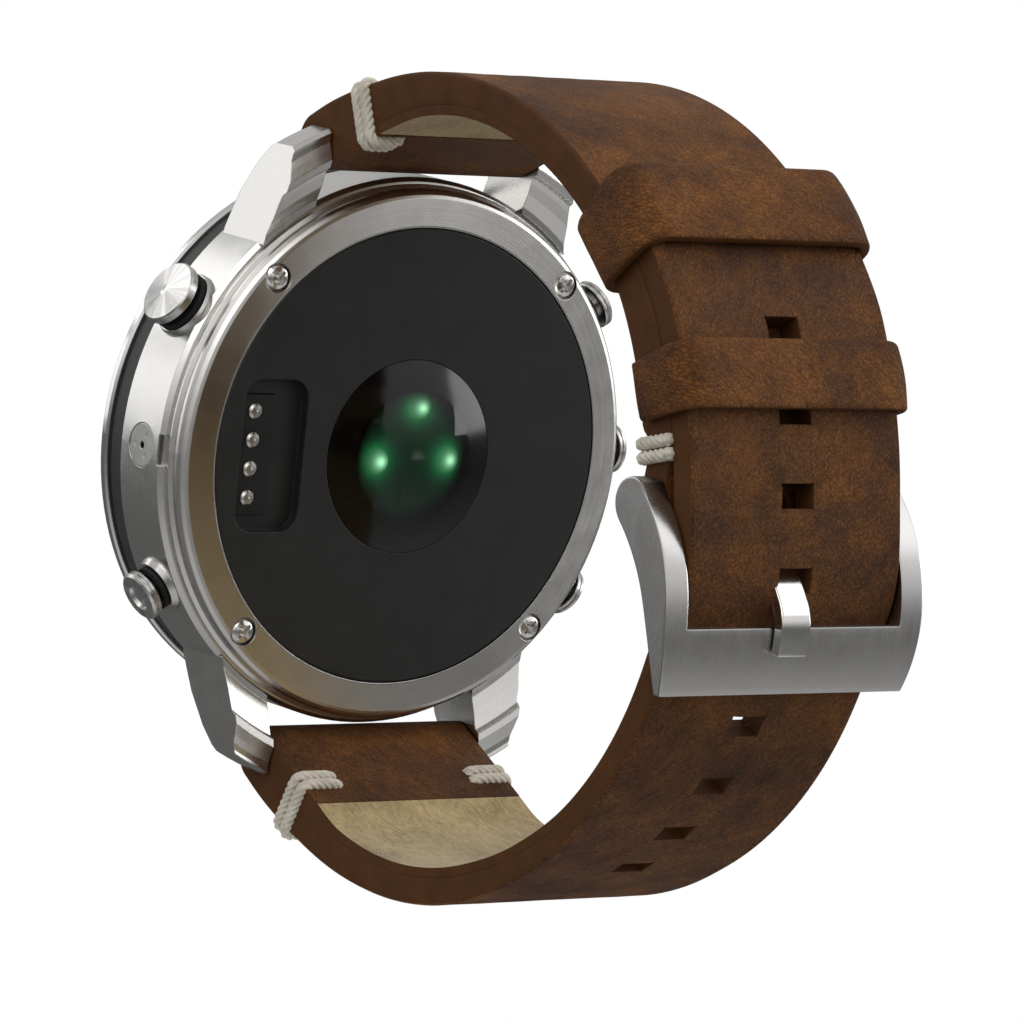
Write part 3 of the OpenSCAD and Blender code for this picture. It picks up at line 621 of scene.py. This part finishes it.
def strap(name, stations, w, mats, body, replaces, holes=(), round_r=0.28, wobble=0.035, seed=0.0,
          mat_of=None):
    """A leather strap of half width w. stations are (outer, inner) points in the YZ plane, and holes are
    pairs of stations. mats are the outer face, the cut edge and the inner face."""
    bm = bmesh.new()
    uvl = bm.loops.layers.uv.new("UVMap")
    count = len(stations)
    run = [0.0]
    for a, b in zip(stations, stations[1:]):
        run.append(run[-1] + ((b[0] + b[1]) / 2 - (a[0] + a[1]) / 2).length)
    rings, uvs, kinds = [], [], []
    for j, (o, k) in enumerate(stations):
        thick = (o - k).length
        rr = min(round_r, thick * 0.45)
        rl = min(ROUND_LOW, thick * 0.45)
        xs = [-w + rr + (2 * w - 2 * rr) * i / (NTOP - 1) for i in range(NTOP)]
        # bring two grid lines onto the hole sides
        for s in (-HOLE_HALF, HOLE_HALF):
            near = min(range(NTOP), key=lambda i: abs(xs[i] - s))
            xs[near] = s
        nrm = (o - k).normalized()
        ring, uv, kind = [], [], []

        def add(x, depth, tag, u):
            q = o - nrm * depth
            if tag == "top":
                p3 = Vector((x * 0.16, run[j] * 0.16, seed))
                q = q + nrm * wobble * noise.noise(p3 * 2.4) * (0.4 if abs(x) > w - 1 else 1)
            ring.append(bm.verts.new((x, q.x, q.y)))
            uv.append((u * 0.01, run[j] * 0.01))
            kind.append(tag)

        for x in xs:
            add(x, 0.0, "top", x)
        for i in range(1, CORNER):
            t = math.pi / 2 * i / CORNER
            add(w - rr + rr * math.sin(t), rr * (1 - math.cos(t)), "round", w + rr * i / CORNER)
        for i in range(NSIDE):
            d = rr + (thick - rr - rl) * i / (NSIDE - 1)
            add(w, d, "side", w + 0.3 + d)
        for i in range(1, CORNER):
            t = math.pi / 2 * i / CORNER
            add(w - rl + rl * math.cos(t), thick - rl + rl * math.sin(t), "round2", w + thick + 0.4)
        for x in reversed(xs):
            if abs(x) > w - rr - 1e-4:
                x = math.copysign(w - rl, x)
            add(x, thick, "low", x + 60)
        for i in range(1, CORNER):
            t = math.pi / 2 * i / CORNER
            add(-w + rl - rl * math.sin(t), thick - rl + rl * math.cos(t), "round2", -w - thick - 0.4)
        for i in range(NSIDE):
            d = thick - rl - (thick - rr - rl) * i / (NSIDE - 1)
            add(-w, d, "side", -w - 0.3 - d)
        for i in range(1, CORNER):
            t = math.pi / 2 * i / CORNER
            add(-w + rr - rr * math.cos(t), rr * (1 - math.sin(t)), "round", -w - rr * (CORNER - i) / CORNER)
        rings.append(ring)
        uvs.append(uv)
        kinds = kind
    n = len(rings[0])
    i0 = min(range(NTOP), key=lambda i: abs(rings[0][i].co.x + HOLE_HALF))
    i1 = min(range(NTOP), key=lambda i: abs(rings[0][i].co.x - HOLE_HALF))
    first_low = kinds.index("low")

    def low(j, i):
        """The inner face's vertex below grid line i."""
        return rings[j][first_low + NTOP - 1 - i]

    cut = set()
    for j0, j1 in holes:
        for j in range(j0, j1):
            for i in range(i0, i1):
                cut.add((j, i))
                cut.add((j, first_low + NTOP - 2 - i))
    mouth = []
    for j in range(count - 1):
        for i in range(n):
            if (j, i) in cut:
                continue
            a, b = i, (i + 1) % n
            f = bm.faces.new((rings[j][a], rings[j][b], rings[j + 1][b], rings[j + 1][a]))
            pair = {kinds[a], kinds[b]}
            f.material_index = 1 if ("side" in pair or "round2" in pair) else (2 if pair == {"low"} else 0)
            if mat_of:
                f.material_index = mat_of(j, kinds[a], kinds[b], f.material_index)
            for lo, (jj, ii) in zip(f.loops, ((j, a), (j, b), (j + 1, b), (j + 1, a))):
                lo[uvl].uv = uvs[jj][ii]
    # hole walls
    for j0, j1 in holes:
        loop = [(j0, i) for i in range(i0, i1)] + [(j, i1) for j in range(j0, j1)] + \
               [(j1, i) for i in range(i1, i0, -1)] + [(j, i0) for j in range(j1, j0, -1)]
        for (ja, ia), (jb, ib) in zip(loop, loop[1:] + loop[:1]):
            if ja == jb == count - 1:
                continue
            top_a, top_b = rings[ja][ia], rings[jb][ib]
            bm.faces.new((top_a, top_b, low(jb, ib), low(ja, ia))).material_index = 1
            e = bm.edges.get((top_a, top_b))
            if e:
                mouth.append(e)
    # close each end with strips between the outer and inner grid lines
    for end, row in ((0, 0), (-1, count - 2)):
        ring = rings[end]
        for i in range(NTOP - 1):
            if (row, i) not in cut:
                bm.faces.new((ring[i], ring[i + 1], low(end, i + 1), low(end, i))).material_index = 1
        bm.faces.new(ring[NTOP - 1:first_low + 1]).material_index = 1
        bm.faces.new(ring[first_low + NTOP - 1:] + [ring[0]]).material_index = 1
    if mouth:
        bmesh.ops.bevel(bm, geom=mouth, offset=0.09, segments=2, affect="EDGES", clamp_overlap=True)
    return finish_mesh(name, bm, mats, body, replaces, 50)


def build_upper():
    inner_end, outer_end = lp(lut(UP_IN, 110.9), 110.9), lp(lut(UP_OUT, 117), 117)
    st = root_stations(1, inner_end, outer_end)
    a = 117.0
    while a > 15.0:
        # the inner face starts a little later than the outer one and catches up
        t = min(1.0, (117 - a) / 12.0)
        ai = a if t >= 1 else lerp(110.9, 105.0, t)
        lift = 0.9 if ai < 110.6 else 0.0
        st.append([lp(lut(UP_OUT, a), a), lp(lut(UP_IN, ai) + lift, ai)])
        a -= STEP
    # the end folds round the buckle pin
    o1, k1 = st[-1]
    for i in range(1, 15):
        t = i / 14
        o = arc_pt(PIN, 1.8, lerp(62, -62, t))
        k = arc_pt(PIN, 1.8, lerp(-178, -66, t) if t < 1 else -64)
        w = min(1.0, i / 4)
        st.append([lerp(o1, o, w), lerp(k1, k, w)])
    return st


st_u = build_upper()
strap("strap_leather_upper", st_u, STRAP_HALF, [M["leather"], M["edge"], M["leather"]], "upper_strap",
      ["strap_upper"], seed=1.3, holes=[(len(st_u) - 11, len(st_u) - 1)],
      mat_of=lambda j, a, b, m: 1 if "round" in (a, b) else m)


def build_lower():
    inner_end, outer_end = lp(lut(LOW_IN, -109.6), -109.6), lp(lut(LOW_OUT, -117), -117)
    inner_end.y, outer_end.y = -inner_end.y, -outer_end.y
    st = root_stations(-1, inner_end, outer_end)
    holes = [HOLES_FROM + HOLES_STEP * i for i in range(-3, 6)]
    marks = sorted([h + s * HOLE_REACH for h in holes for s in (-1, 1)])
    angs, a = [], -117.0
    while a < 49.0:
        angs.append(a)
        a += STEP
    angs = [v for v in angs if all(abs(v - k) > 0.45 for k in marks)] + marks + [49.0]
    angs = sorted(set(angs))
    base = len(st)
    for a in angs:
        t = min(1.0, (a + 117) / 12.0)
        ai = a if t >= 1 else lerp(-109.6, -105.0, t)
        lift = 0.9 if ai > -108.9 else 0.0
        lift *= 1.0 if ai < -9.5 else max(0.0, (-7 - ai) / 2.5)
        st.append([lp(lut(LOW_OUT, a), a), lp(lut(LOW_IN, ai) + lift, ai)])
    return st, [(base + angs.index(h - HOLE_REACH), base + angs.index(h + HOLE_REACH)) for h in holes]


st_l, cuts_l = build_lower()
strap("strap_leather_lower", st_l, STRAP_HALF, [M["leather_low_shaded"], M["edge"], M["leather_low_shaded"]], "lower_strap",
      ["strap_lower", "strap_tail"], holes=cuts_l, seed=5.1)


LINING_HALF = 10.94


def lining(name, table, a0, a1, body, node, holes=()):
    """The pale inner layer of a strap, from angle a0 to a1, thinned out at its end."""
    st = []
    n = int(abs(a1 - a0) / STEP)
    angs = [a0 + (a1 - a0) * i / n for i in range(n + 1)]
    marks = [h + s * HOLE_REACH for h in holes for s in (-1, 1)]
    angs = [v for v in angs if all(abs(v - k) > 0.4 for k in marks)] + marks
    angs.sort(reverse=a1 < a0)
    n = len(angs) - 1
    cuts = [tuple(sorted((angs.index(h - HOLE_REACH), angs.index(h + HOLE_REACH)))) for h in holes]
    for i, a in enumerate(angs):
        r = lut(table, a)
        thin = 0.86 * min(1.0, (n - i + 0.6) / 2)
        st.append([lp(r + 0.88, a), lp(r + 0.88 - thin, a)])
    strap(name, st, LINING_HALF, [M["suede"], M["edge"], M["suede"]], body, [node],
          round_r=0.012, seed=9.0, wobble=0.0, holes=cuts,
          mat_of=lambda j, a, b, m: 2 if (a, b) == ("low", "low") else 1)


lining("strap_lining_upper", UP_IN, 110.5, 17.6, "upper_strap", "lining_upper")
lining("strap_lining_lower", LOW_IN, -108.8, -9.0, "lower_strap", "lining_lower",
       holes=[HOLES_FROM + HOLES_STEP * i for i in range(1, 6)])


# ---------- keepers ----------
KEEPER_R = 38.0         # the radius at which a keeper's width is measured
KEEPER_CORNER = 1.9


def keeper(name, a0, a1, half_in, half_out, r_in0, r_in1, r_out1, r_low, closed, body, node, seed):
    """A leather loop round the strap. Its section is a rounded strip that runs round a rounded rectangle,
    or round a U where it isn't closed."""
    bm = bmesh.new()
    uvl = bm.loops.layers.uv.new("UVMap")
    thick = half_out - half_in
    # the middle line of the strip, as (x, R) with outward normals
    hx = (half_in + half_out) / 2
    top = (r_in1 + r_out1) / 2
    bot = (r_in0 + r_low) / 2 if closed else r_low
    cr = KEEPER_CORNER
    pts = []

    def corner(cx, cy, a_from, a_to, k=7):
        for i in range(k + 1):
            a = math.radians(a_from + (a_to - a_from) * i / k)
            pts.append((cx + cr * math.cos(a), cy + cr * math.sin(a), math.cos(a), math.sin(a)))

    def line(x0, y0, x1, y1, nx, ny, k):
        for i in range(1, k):
            t = i / k
            pts.append((x0 + (x1 - x0) * t, y0 + (y1 - y0) * t, nx, ny))

    if closed:
        corner(hx - cr, bot + cr, -90, 0)
    else:
        pts.append((hx, bot, 1, 0))
    line(hx, bot + (cr if closed else 0), hx, top - cr, 1, 0, 10)
    corner(hx - cr, top - cr, 0, 90)
    line(hx - cr, top, -hx + cr, top, 0, 1, 34)
    corner(-hx + cr, top - cr, 90, 180)
    line(-hx, top - cr, -hx, bot + (cr if closed else 0), -1, 0, 10)
    if closed:
        corner(-hx + cr, bot + cr, 180, 270)
        line(-hx + cr, bot, hx - cr, bot, 0, -1, 34)
    else:
        pts.append((-hx, bot, -1, 0))
    mid_a, half_a = (a0 + a1) / 2, (a1 - a0) / 2
    wide = math.radians(half_a) * KEEPER_R
    ne = 5
    rr = thick * 0.36
    prof = []
    m = 16
    for i in range(m + 1):
        s = -wide + rr + 2 * (wide - rr) * i / m
        crown = 0.13 * (1 - (s / wide) ** 2)
        prof.append((s, thick / 2 + crown, 0))
    for i in range(1, ne):
        t = math.pi / 2 * i / ne
        prof.append((wide - rr + rr * math.sin(t), thick / 2 - rr + rr * math.cos(t), 1))
    for i in range(ne):
        t = math.pi / 2 * i / (ne - 1)
        prof.append((wide - rr + rr * math.cos(t), -thick / 2 + rr - rr * math.sin(t), 1))
    for i in range(1, m):
        s = wide - rr - 2 * (wide - rr) * i / m
        prof.append((s, -thick / 2, 2))
    for i in range(ne):
        t = math.pi / 2 * i / (ne - 1)
        prof.append((-wide + rr - rr * math.sin(t), -thick / 2 + rr - rr * math.cos(t), 1))
    for i in range(1, ne):
        t = math.pi / 2 * i / ne
        prof.append((-wide + rr - rr * math.cos(t), thick / 2 - rr + rr * math.sin(t), 1))
    rings, run = [], 0.0
    us = []
    for j, (x, y, nx, ny) in enumerate(pts):
        if j:
            run += math.hypot(x - pts[j - 1][0], y - pts[j - 1][1])
        us.append(run)
        ring = []
        for s, h, kind in prof:
            hh = h
            if kind == 0:
                hh += 0.05 * noise.noise(Vector((run * 0.3, s * 0.35, seed)))
            xx, yy = x + nx * hh, y + ny * hh
            a = mid_a + math.degrees(s / KEEPER_R)
            q = lp(yy, a)
            ring.append(bm.verts.new((xx, q.x, q.y)))
        rings.append(ring)
    n = len(prof)
    total = len(rings) if closed else len(rings) - 1
    for j in range(total):
        jb = (j + 1) % len(rings)
        for i in range(n):
            b = (i + 1) % n
            f = bm.faces.new((rings[j][i], rings[j][b], rings[jb][b], rings[jb][i]))
            kinds = (prof[i][2], prof[b][2])
            edge = 1 in kinds and prof[i][1] < thick / 2 - rr * 0.55
            f.material_index = 1 if edge else (2 if kinds == (2, 2) else 0)
            ub = us[j] + 0.5 if jb == 0 else us[jb]
            corners = (us[j], prof[i][0]), (us[j], prof[b][0]), (ub, prof[b][0]), (ub, prof[i][0])
            for lo, (u, s) in zip(f.loops, corners):
                lo[uvl].uv = (s * 0.01 + 0.5, u * 0.01)
    if not closed:
        for ring in (rings[0], rings[-1]):
            bm.faces.new(ring).material_index = 1
    mats = [M["leather_keeper"], M["edge"], M["leather_keeper"]]
    return finish_mesh(name, bm, mats, body, [node], 50)


keeper("keeper_leather_fixed", 19.6, 28.3, 11.0, 11.95, 31.6, 38.15, 39.05, 32.45, False,
       "upper_strap", "keeper_fixed", 2.0)
keeper("keeper_leather_free", 41.2, 52.8, 11.05, 12.1, 31.6, 38.2, 39.3, 30.5, True,
       "keeper", "keeper_free", 4.0)


# ---------- bound threads ----------
def rope(bm, path, r0, turns_per_mm=0.3, phase=0.0, strands=5):
    """A laid cord swept along a path, which is resampled evenly and then smoothed."""
    pts = [path[0]]
    for a, b in zip(path, path[1:]):
        k = max(1, int((b - a).length / 0.06))
        for i in range(1, k + 1):
            pts.append(a.lerp(b, i / k))
    for _ in range(20):
        inner = [(pts[i - 1] + pts[i] * 2 + pts[i + 1]) / 4 for i in range(1, len(pts) - 1)]
        pts = [pts[0]] + inner + [pts[-1]]
    t0 = (pts[1] - pts[0]).normalized()
    nrm = t0.orthogonal().normalized()
    rings, run = [], 0.0
    sides = 24
    for i, p in enumerate(pts):
        tan = (pts[min(i + 1, len(pts) - 1)] - pts[max(i - 1, 0)]).normalized()
        nrm = (nrm - tan * nrm.dot(tan)).normalized()
        bi = tan.cross(nrm)
        if i:
            run += (p - pts[i - 1]).length
        ring = []
        for k in range(sides):
            th = 2 * math.pi * k / sides
            tw = th - 2 * math.pi * run * turns_per_mm + phase
            r = r0 * (0.70 + 0.34 * abs(math.cos(tw * strands / 2)) ** 0.65)
            ring.append(bm.verts.new(p + (nrm * math.cos(th) + bi * math.sin(th)) * r))
        rings.append(ring)
    for a, b in zip(rings, rings[1:]):
        skin(bm, a, b)
    for ring in (rings[0], rings[-1]):
        bm.faces.new(ring)


def binding(bm, ang, side, r_in, r_out, reach_in, reach_out, r0=0.55, half=STRAP_HALF):
    """Two laid cords side by side that bind the edge of the strap at one place."""
    for off in (-0.58, 0.58):
        c, s = math.cos(math.radians(ang)), math.sin(math.radians(ang))

        def at(x, r):
            return Vector((side * x, LY + r * c - off * s, r * s + off * c))

        lift = r0 * 0.72
        w = half + 0.12
        path = [at(half - reach_out - 0.35, r_out - 0.9), at(half - reach_out, r_out + lift * 0.55),
                at(half - reach_out + 0.7, r_out + lift), at(half - 0.2, r_out + lift), at(w, r_out - 0.1),
                at(w, (r_in + r_out) / 2), at(w, r_in + 0.1), at(half - 0.2, r_in - lift),
                at(half - reach_in + 0.7, r_in - lift), at(half - reach_in, r_in - lift * 0.55),
                at(half - reach_in - 0.35, r_in + 0.9)]
        rope(bm, path, r0, phase=off * 3)


def threads(name, spots, body, node):
    """The bindings on both edges at one place, as one piece."""
    bm = bmesh.new()
    for spot in spots:
        binding(bm, *spot)
    return finish_mesh(name, bm, [M["thread"]], body, [node], 60)


threads("thread_bound_upper",
        [(113.5, s, lut(UP_IN, 109.6), lut(UP_OUT, 113.5) - 0.25, 2.7, 0.9) for s in (1, -1)],
        "upper_strap", "thread_upper")
threads("thread_bound_lower",
        [(-114.5, s, lut(LOW_IN, -109.6) + 0.2, lut(LOW_OUT, -114.5), 3.6, 2.4) for s in (1, -1)],
        "lower_strap", "thread_lower")
threads("thread_bound_buckle", [(15.6, s, 31.25, 34.35, 3.6, 0.35) for s in (1, -1)], "upper_strap", "thread_buckle")


# ---------- lamp lenses on the sensor ----------
def lamp_lenses():
    """A small dome over each lamp, as tall as its CAD solid."""
    lo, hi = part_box("sensor_leds")
    low, top = lo[1] / MM, hi[1] / MM
    bm = bmesh.new()
    radius, rows, steps = 1.12, 8, 32
    for x, z in LEDS:
        prev = None
        for i in range(rows + 1):
            t = math.pi / 2 * i / rows
            r, y = radius * math.cos(t), low + (top - low) * math.sin(t)
            if i == rows:
                tip = bm.verts.new((x, y, z))
                for k in range(steps):
                    bm.faces.new((prev[k], prev[(k + 1) % steps], tip))
                break
            turn = [2 * math.pi * k / steps for k in range(steps)]
            ring = [bm.verts.new((x + r * math.cos(q), y, z + r * math.sin(q))) for q in turn]
            if prev:
                skin(bm, prev, ring)
            else:
                bm.faces.new(ring)
            prev = ring
    return finish_mesh("sensor_lamp_lenses", bm, [M["sensor"]], "case", ["sensor_leds"], 60)


lamp_lenses()


# ---------- buckle ----------
def circ(c, r, a0, a1, n):
    """Points along an arc round c, as (y, z)."""
    return [(c[0] + r * math.cos(math.radians(a0 + (a1 - a0) * i / n)),
             c[1] + r * math.sin(math.radians(a0 + (a1 - a0) * i / n))) for i in range(n + 1)]


EAR, EAR_R = (PIN[0] + 0.5, PIN[1] + 0.1), 2.15     # the arm's rounded end at the pin
ARM_OUT, ARM_IN = 13.45, 11.1                       # half widths over and between the arms
A_C, A_R = (55.1, -4.4), 13.5                       # the outer side's arc
B_C, B_R = (50.7, -8.9), 15.8                       # the inner side's arc
BAR_Z, BAR_LOW = -4.6, -10.3                        # top and bottom of the bar


def build_buckle():
    """Two curved arms joined by one tall bar."""
    bm = bmesh.new()
    d_ea = (Vector(EAR) - Vector(A_C))
    top_ang = math.degrees(math.atan2(d_ea.y, d_ea.x))
    low_ang = math.degrees(math.asin((BAR_LOW - A_C[1]) / A_R))
    bar_ang = math.degrees(math.asin((BAR_Z - A_C[1]) / A_R))
    d_eb = (Vector(EAR) - Vector(B_C))
    b_dir = math.degrees(math.atan2(d_eb.y, d_eb.x))
    dist = d_eb.length
    c = (B_R ** 2 + dist ** 2 - EAR_R ** 2) / (2 * B_R * dist)
    b_top = b_dir - math.degrees(math.acos(max(-1, min(1, c))))
    b_low = math.degrees(math.asin((BAR_LOW - B_C[1]) / B_R))
    b_bar = math.degrees(math.asin((BAR_Z - 0.25 - B_C[1]) / B_R))
    meet = Vector(circ(B_C, B_R, b_top, b_top, 1)[0]) - Vector(EAR)
    ear_start = math.degrees(math.atan2(meet.y, meet.x))
    # the outline runs up the outer side, round the ear and down the inner side
    out_up = circ(A_C, A_R, bar_ang, top_ang - 3, 16)
    out_low = circ(A_C, A_R, low_ang, bar_ang, 8)
    in_low = circ(B_C, B_R, b_bar, b_low, 6)
    in_up = circ(B_C, B_R, b_top, b_bar, 16)
    ear = circ(EAR, EAR_R, top_ang, ear_start % 360, 18)
    outline = out_low[:-1] + out_up + ear[1:-1] + in_up[:-1] + in_low
    n_low, n_up = len(out_low) - 1, len(out_up)
    i_bar_out = n_low
    i_bar_in = n_low + n_up + len(ear) - 2 + len(in_up) - 1
    n = len(outline)
    rings = {}
    for x in (-ARM_OUT, -ARM_IN, ARM_IN, ARM_OUT):
        rings[x] = [bm.verts.new((x, p[0], p[1])) for p in outline]
    for s in (-1, 1):
        a, b = rings[s * ARM_OUT], rings[s * ARM_IN]
        skin(bm, a, b)
        bm.faces.new(a)
        # the arm's inner face, above the bar
        bm.faces.new(b[i_bar_out:i_bar_in + 1])
    a, b = rings[-ARM_IN], rings[ARM_IN]
    idx = list(range(i_bar_in, n)) + list(range(0, i_bar_out + 1))
    xs = [0.4 - ARM_IN] + [ARM_IN * (-1 + 2 * i / 8) for i in range(1, 8)] + [ARM_IN - 0.4]
    cols = [a]
    for x in xs:
        cols.append([bm.verts.new((x, p[0], p[1])) if i in idx else None for i, p in enumerate(outline)])
    cols.append(b)
    for ca, cb in zip(cols, cols[1:]):
        for i, k in zip(idx, idx[1:]):
            bm.faces.new((ca[i], ca[k], cb[k], cb[i]))
        bm.faces.new((ca[i_bar_out], ca[i_bar_in], cb[i_bar_in], cb[i_bar_out]))
    round_edges(bm, 32, 0.2, 2, 0.6)
    # below the tongue's seat the frame runs straighter and draws in a little
    for v in bm.verts:
        t = (max(0.0, -3.0 - v.co.z) / 7.3) ** 2
        v.co.y += 0.6 * t
        v.co.x *= 1 - 0.06 * t
    even_normals(finish_mesh("buckle_steel_frame", bm, [M["buckle"]], "frame", ["buckle_frame"], 38))


build_buckle()


def offset_strip(path, t0, t1):
    """A closed outline round an open middle line, with thickness going from t0 to t1."""
    up, dn = [], []
    n = len(path)
    for i, p in enumerate(path):
        a, b = path[max(i - 1, 0)], path[min(i + 1, n - 1)]
        d = (b - a).normalized()
        nr = Vector((-d.y, d.x))
        t = lerp(t0, t1, i / (n - 1)) / 2
        up.append(p + nr * t)
        dn.append(p - nr * t)
    return up + dn[::-1]


def smooth_path(pts, k=8):
    """A smooth curve through the points, with k steps between two of them."""
    out = []
    v = [Vector(p) for p in pts]
    for i in range(len(v) - 1):
        p0, p1, p2, p3 = v[max(i - 1, 0)], v[i], v[i + 1], v[min(i + 2, len(v) - 1)]
        for j in range(k):
            t = j / k
            out.append(0.5 * ((2 * p1) + (p2 - p0) * t + (2 * p0 - 5 * p1 + 4 * p2 - p3) * t * t
                              + (3 * p1 - p0 - 3 * p2 + p3) * t ** 3))
    out.append(v[-1])
    return out


def build_tongue():
    """A bent flat tongue with an eye that turns on the pin."""
    bm = bmesh.new()
    path = smooth_path([(PIN[0] + 1.0, PIN[1] - 0.35), (64.3, 2.0), (65.6, 0.3), (66.8, -1.1), (67.95, -2.25),
                        (68.85, -3.2), (69.28, -4.1), (69.32, -5.2), (69.22, -6.85)], 6)
    out = offset_strip(path, 1.4, 1.02)
    w = 1.5
    a = [bm.verts.new((-w, p[0], p[1])) for p in out]
    b = [bm.verts.new((w, p[0], p[1])) for p in out]
    skin(bm, a, b)
    bm.faces.new(a)
    bm.faces.new(b)
    round_edges(bm, 40, 0.26, 3, 0.55)
    # the point leans a little to one side, as the tail does
    for v in bm.verts:
        v.co.x += 0.85 * min(1.0, max(0.0, (1.5 - v.co.z) / 5.0))
    # the eye
    steps, tube = 40, []
    turn = [2 * math.pi * i / steps for i in range(steps)]
    for x, r in ((-1.5, 0.86), (-1.5, 1.45), (-1.3, 1.65), (1.3, 1.65), (1.5, 1.45), (1.5, 0.86)):
        tube.append([bm.verts.new((x, PIN[0] + r * math.cos(q), PIN[1] + r * math.sin(q))) for q in turn])
    for p, q in zip(tube, tube[1:] + tube[:1]):
        skin(bm, p, q)
    even_normals(finish_mesh("buckle_steel_tongue", bm, [M["tongue"]], "tongue", ["buckle_tongue"]))


build_tongue()


# ---------- floor, light ----------
FLOOR_Z = -64.0         # low enough for the lower strap to swing open above it
FLOOR_Y = 20.0          # the middle of the floor, below the strap loop


def floor():
    """A pale disc that fades out round the watch's shadow."""
    low, mid = FLOOR_Z * MM, FLOOR_Y * MM
    bm = bmesh.new()
    steps = 96
    turn = [2 * math.pi * i / steps for i in range(steps)]
    prev = [bm.verts.new((0, mid, low))]
    for r in (0.04, 0.08, 0.12, 0.2, 0.35, 0.6):
        ring = [bm.verts.new((r * math.cos(q), mid + r * math.sin(q), low)) for q in turn]
        if len(prev) > 1:
            skin(bm, ring, prev)
        else:
            for i in range(steps):
                bm.faces.new((prev[0], ring[i], ring[(i + 1) % steps]))
        prev = ring
    me = bpy.data.meshes.new("floor")
    bm.to_mesh(me)
    bm.free()
    ob = bpy.data.objects.new("floor", me)
    scene.collection.objects.link(ob)
    m = Mat("pale_floor")
    p = m.coords()
    d = m.vmath("DISTANCE", m.vmath("MULTIPLY", p, (1, 1, 0)), (0, FLOOR_Y, 0))
    n = m.noise(p, 0.4, 3, 0.5)
    fade = m.maprange(d, 20.0, 75.0, 0.0, 1.0)
    fade.node.interpolation_type = "SMOOTHSTEP"
    b = m.node("ShaderNodeBsdfPrincipled", {
        "Base Color": m.ramp(n, [(0.3, (0.90, 0.90, 0.90)), (0.7, (0.93, 0.93, 0.93))]),
        "Roughness": m.maprange(n, 0.3, 0.7, 0.55, 0.65), "Specular IOR Level": 0.1,
        "Emission Color": (1, 1, 1, 1), "Emission Strength": 0.38})
    tr = m.node("ShaderNodeBsdfTransparent")
    m.put(m.out, "Surface", m.node("ShaderNodeMixShader", {0: fade, 1: b, 2: tr}))
    me.materials.append(m.mat)
    ob.visible_glossy = False


floor()


def world():
    """A studio with a bright card above the wrist side and a darker wall behind the crystal. The camera
    sees plain white."""
    m = Mat("studio", bpy.data.worlds.new("studio"))
    scene.world = m.mat
    sep = m.node("ShaderNodeSeparateXYZ", {0: m.node("ShaderNodeTexCoord").outputs["Generated"]})
    up = m.maprange(sep.outputs[2], -1.0, 1.0, 0.0, 1.0)
    side = m.maprange(sep.outputs[1], -0.25, 0.25, 0.0, 1.0)

    def sky(stops):
        return m.ramp(up, [(p, (v, v * 0.995, v * 0.985)) for p, v in stops])

    crystal_side = sky([(0.0, 0.11), (0.30, 0.11), (0.42, 0.13), (0.49, 0.20), (0.56, 0.34), (0.70, 0.55),
                        (1.0, 0.44)])
    wrist_side = sky([(0.0, 0.50), (0.18, 0.52), (0.30, 0.27), (0.40, 0.13), (0.46, 0.16), (0.53, 0.40), (0.62, 0.82),
                      (0.72, 0.90), (1.0, 0.45)])
    lit = m.node("ShaderNodeBackground", {0: m.mix(side, crystal_side, wrist_side)})
    white = m.node("ShaderNodeBackground", {0: (1, 1, 1, 1), 1: 1.0})
    seen = m.node("ShaderNodeLightPath").outputs["Is Camera Ray"]
    m.put(m.out, "Surface", m.node("ShaderNodeMixShader", {0: seen, 1: lit, 2: white}))


world()


LIGHTS_AIM = (0, 0.02, 0)       # metres


def area(name, place, size, power, colour=(1, 1, 1)):
    """A soft rectangular light, placed in metres."""
    d = bpy.data.lights.new(name, "AREA")
    d.shape = "RECTANGLE"
    d.size, d.size_y = size
    d.energy = power
    d.color = colour
    o = bpy.data.objects.new(name, d)
    o.location = place
    o.rotation_euler = (Vector(LIGHTS_AIM) - Vector(place)).to_track_quat("-Z", "Y").to_euler()
    scene.collection.objects.link(o)


area("key", (0.62, 0.25, 0.75), (0.7, 0.7), 2.4, (1, 0.985, 0.96))
area("fill", (-0.6, 0.35, 0.68), (0.6, 0.6), 1.2, (0.97, 0.98, 1))
area("card", (-0.90, 0.42, 0.16), (0.4, 0.35), 1.3)
area("rim", (0.40, -0.80, 0.52), (0.5, 0.4), 0.65)
area("side", (0.62, -0.78, 0.10), (0.42, 0.36), 0.45)

scene.view_settings.view_transform = "Standard"
scene.view_settings.look = "None"
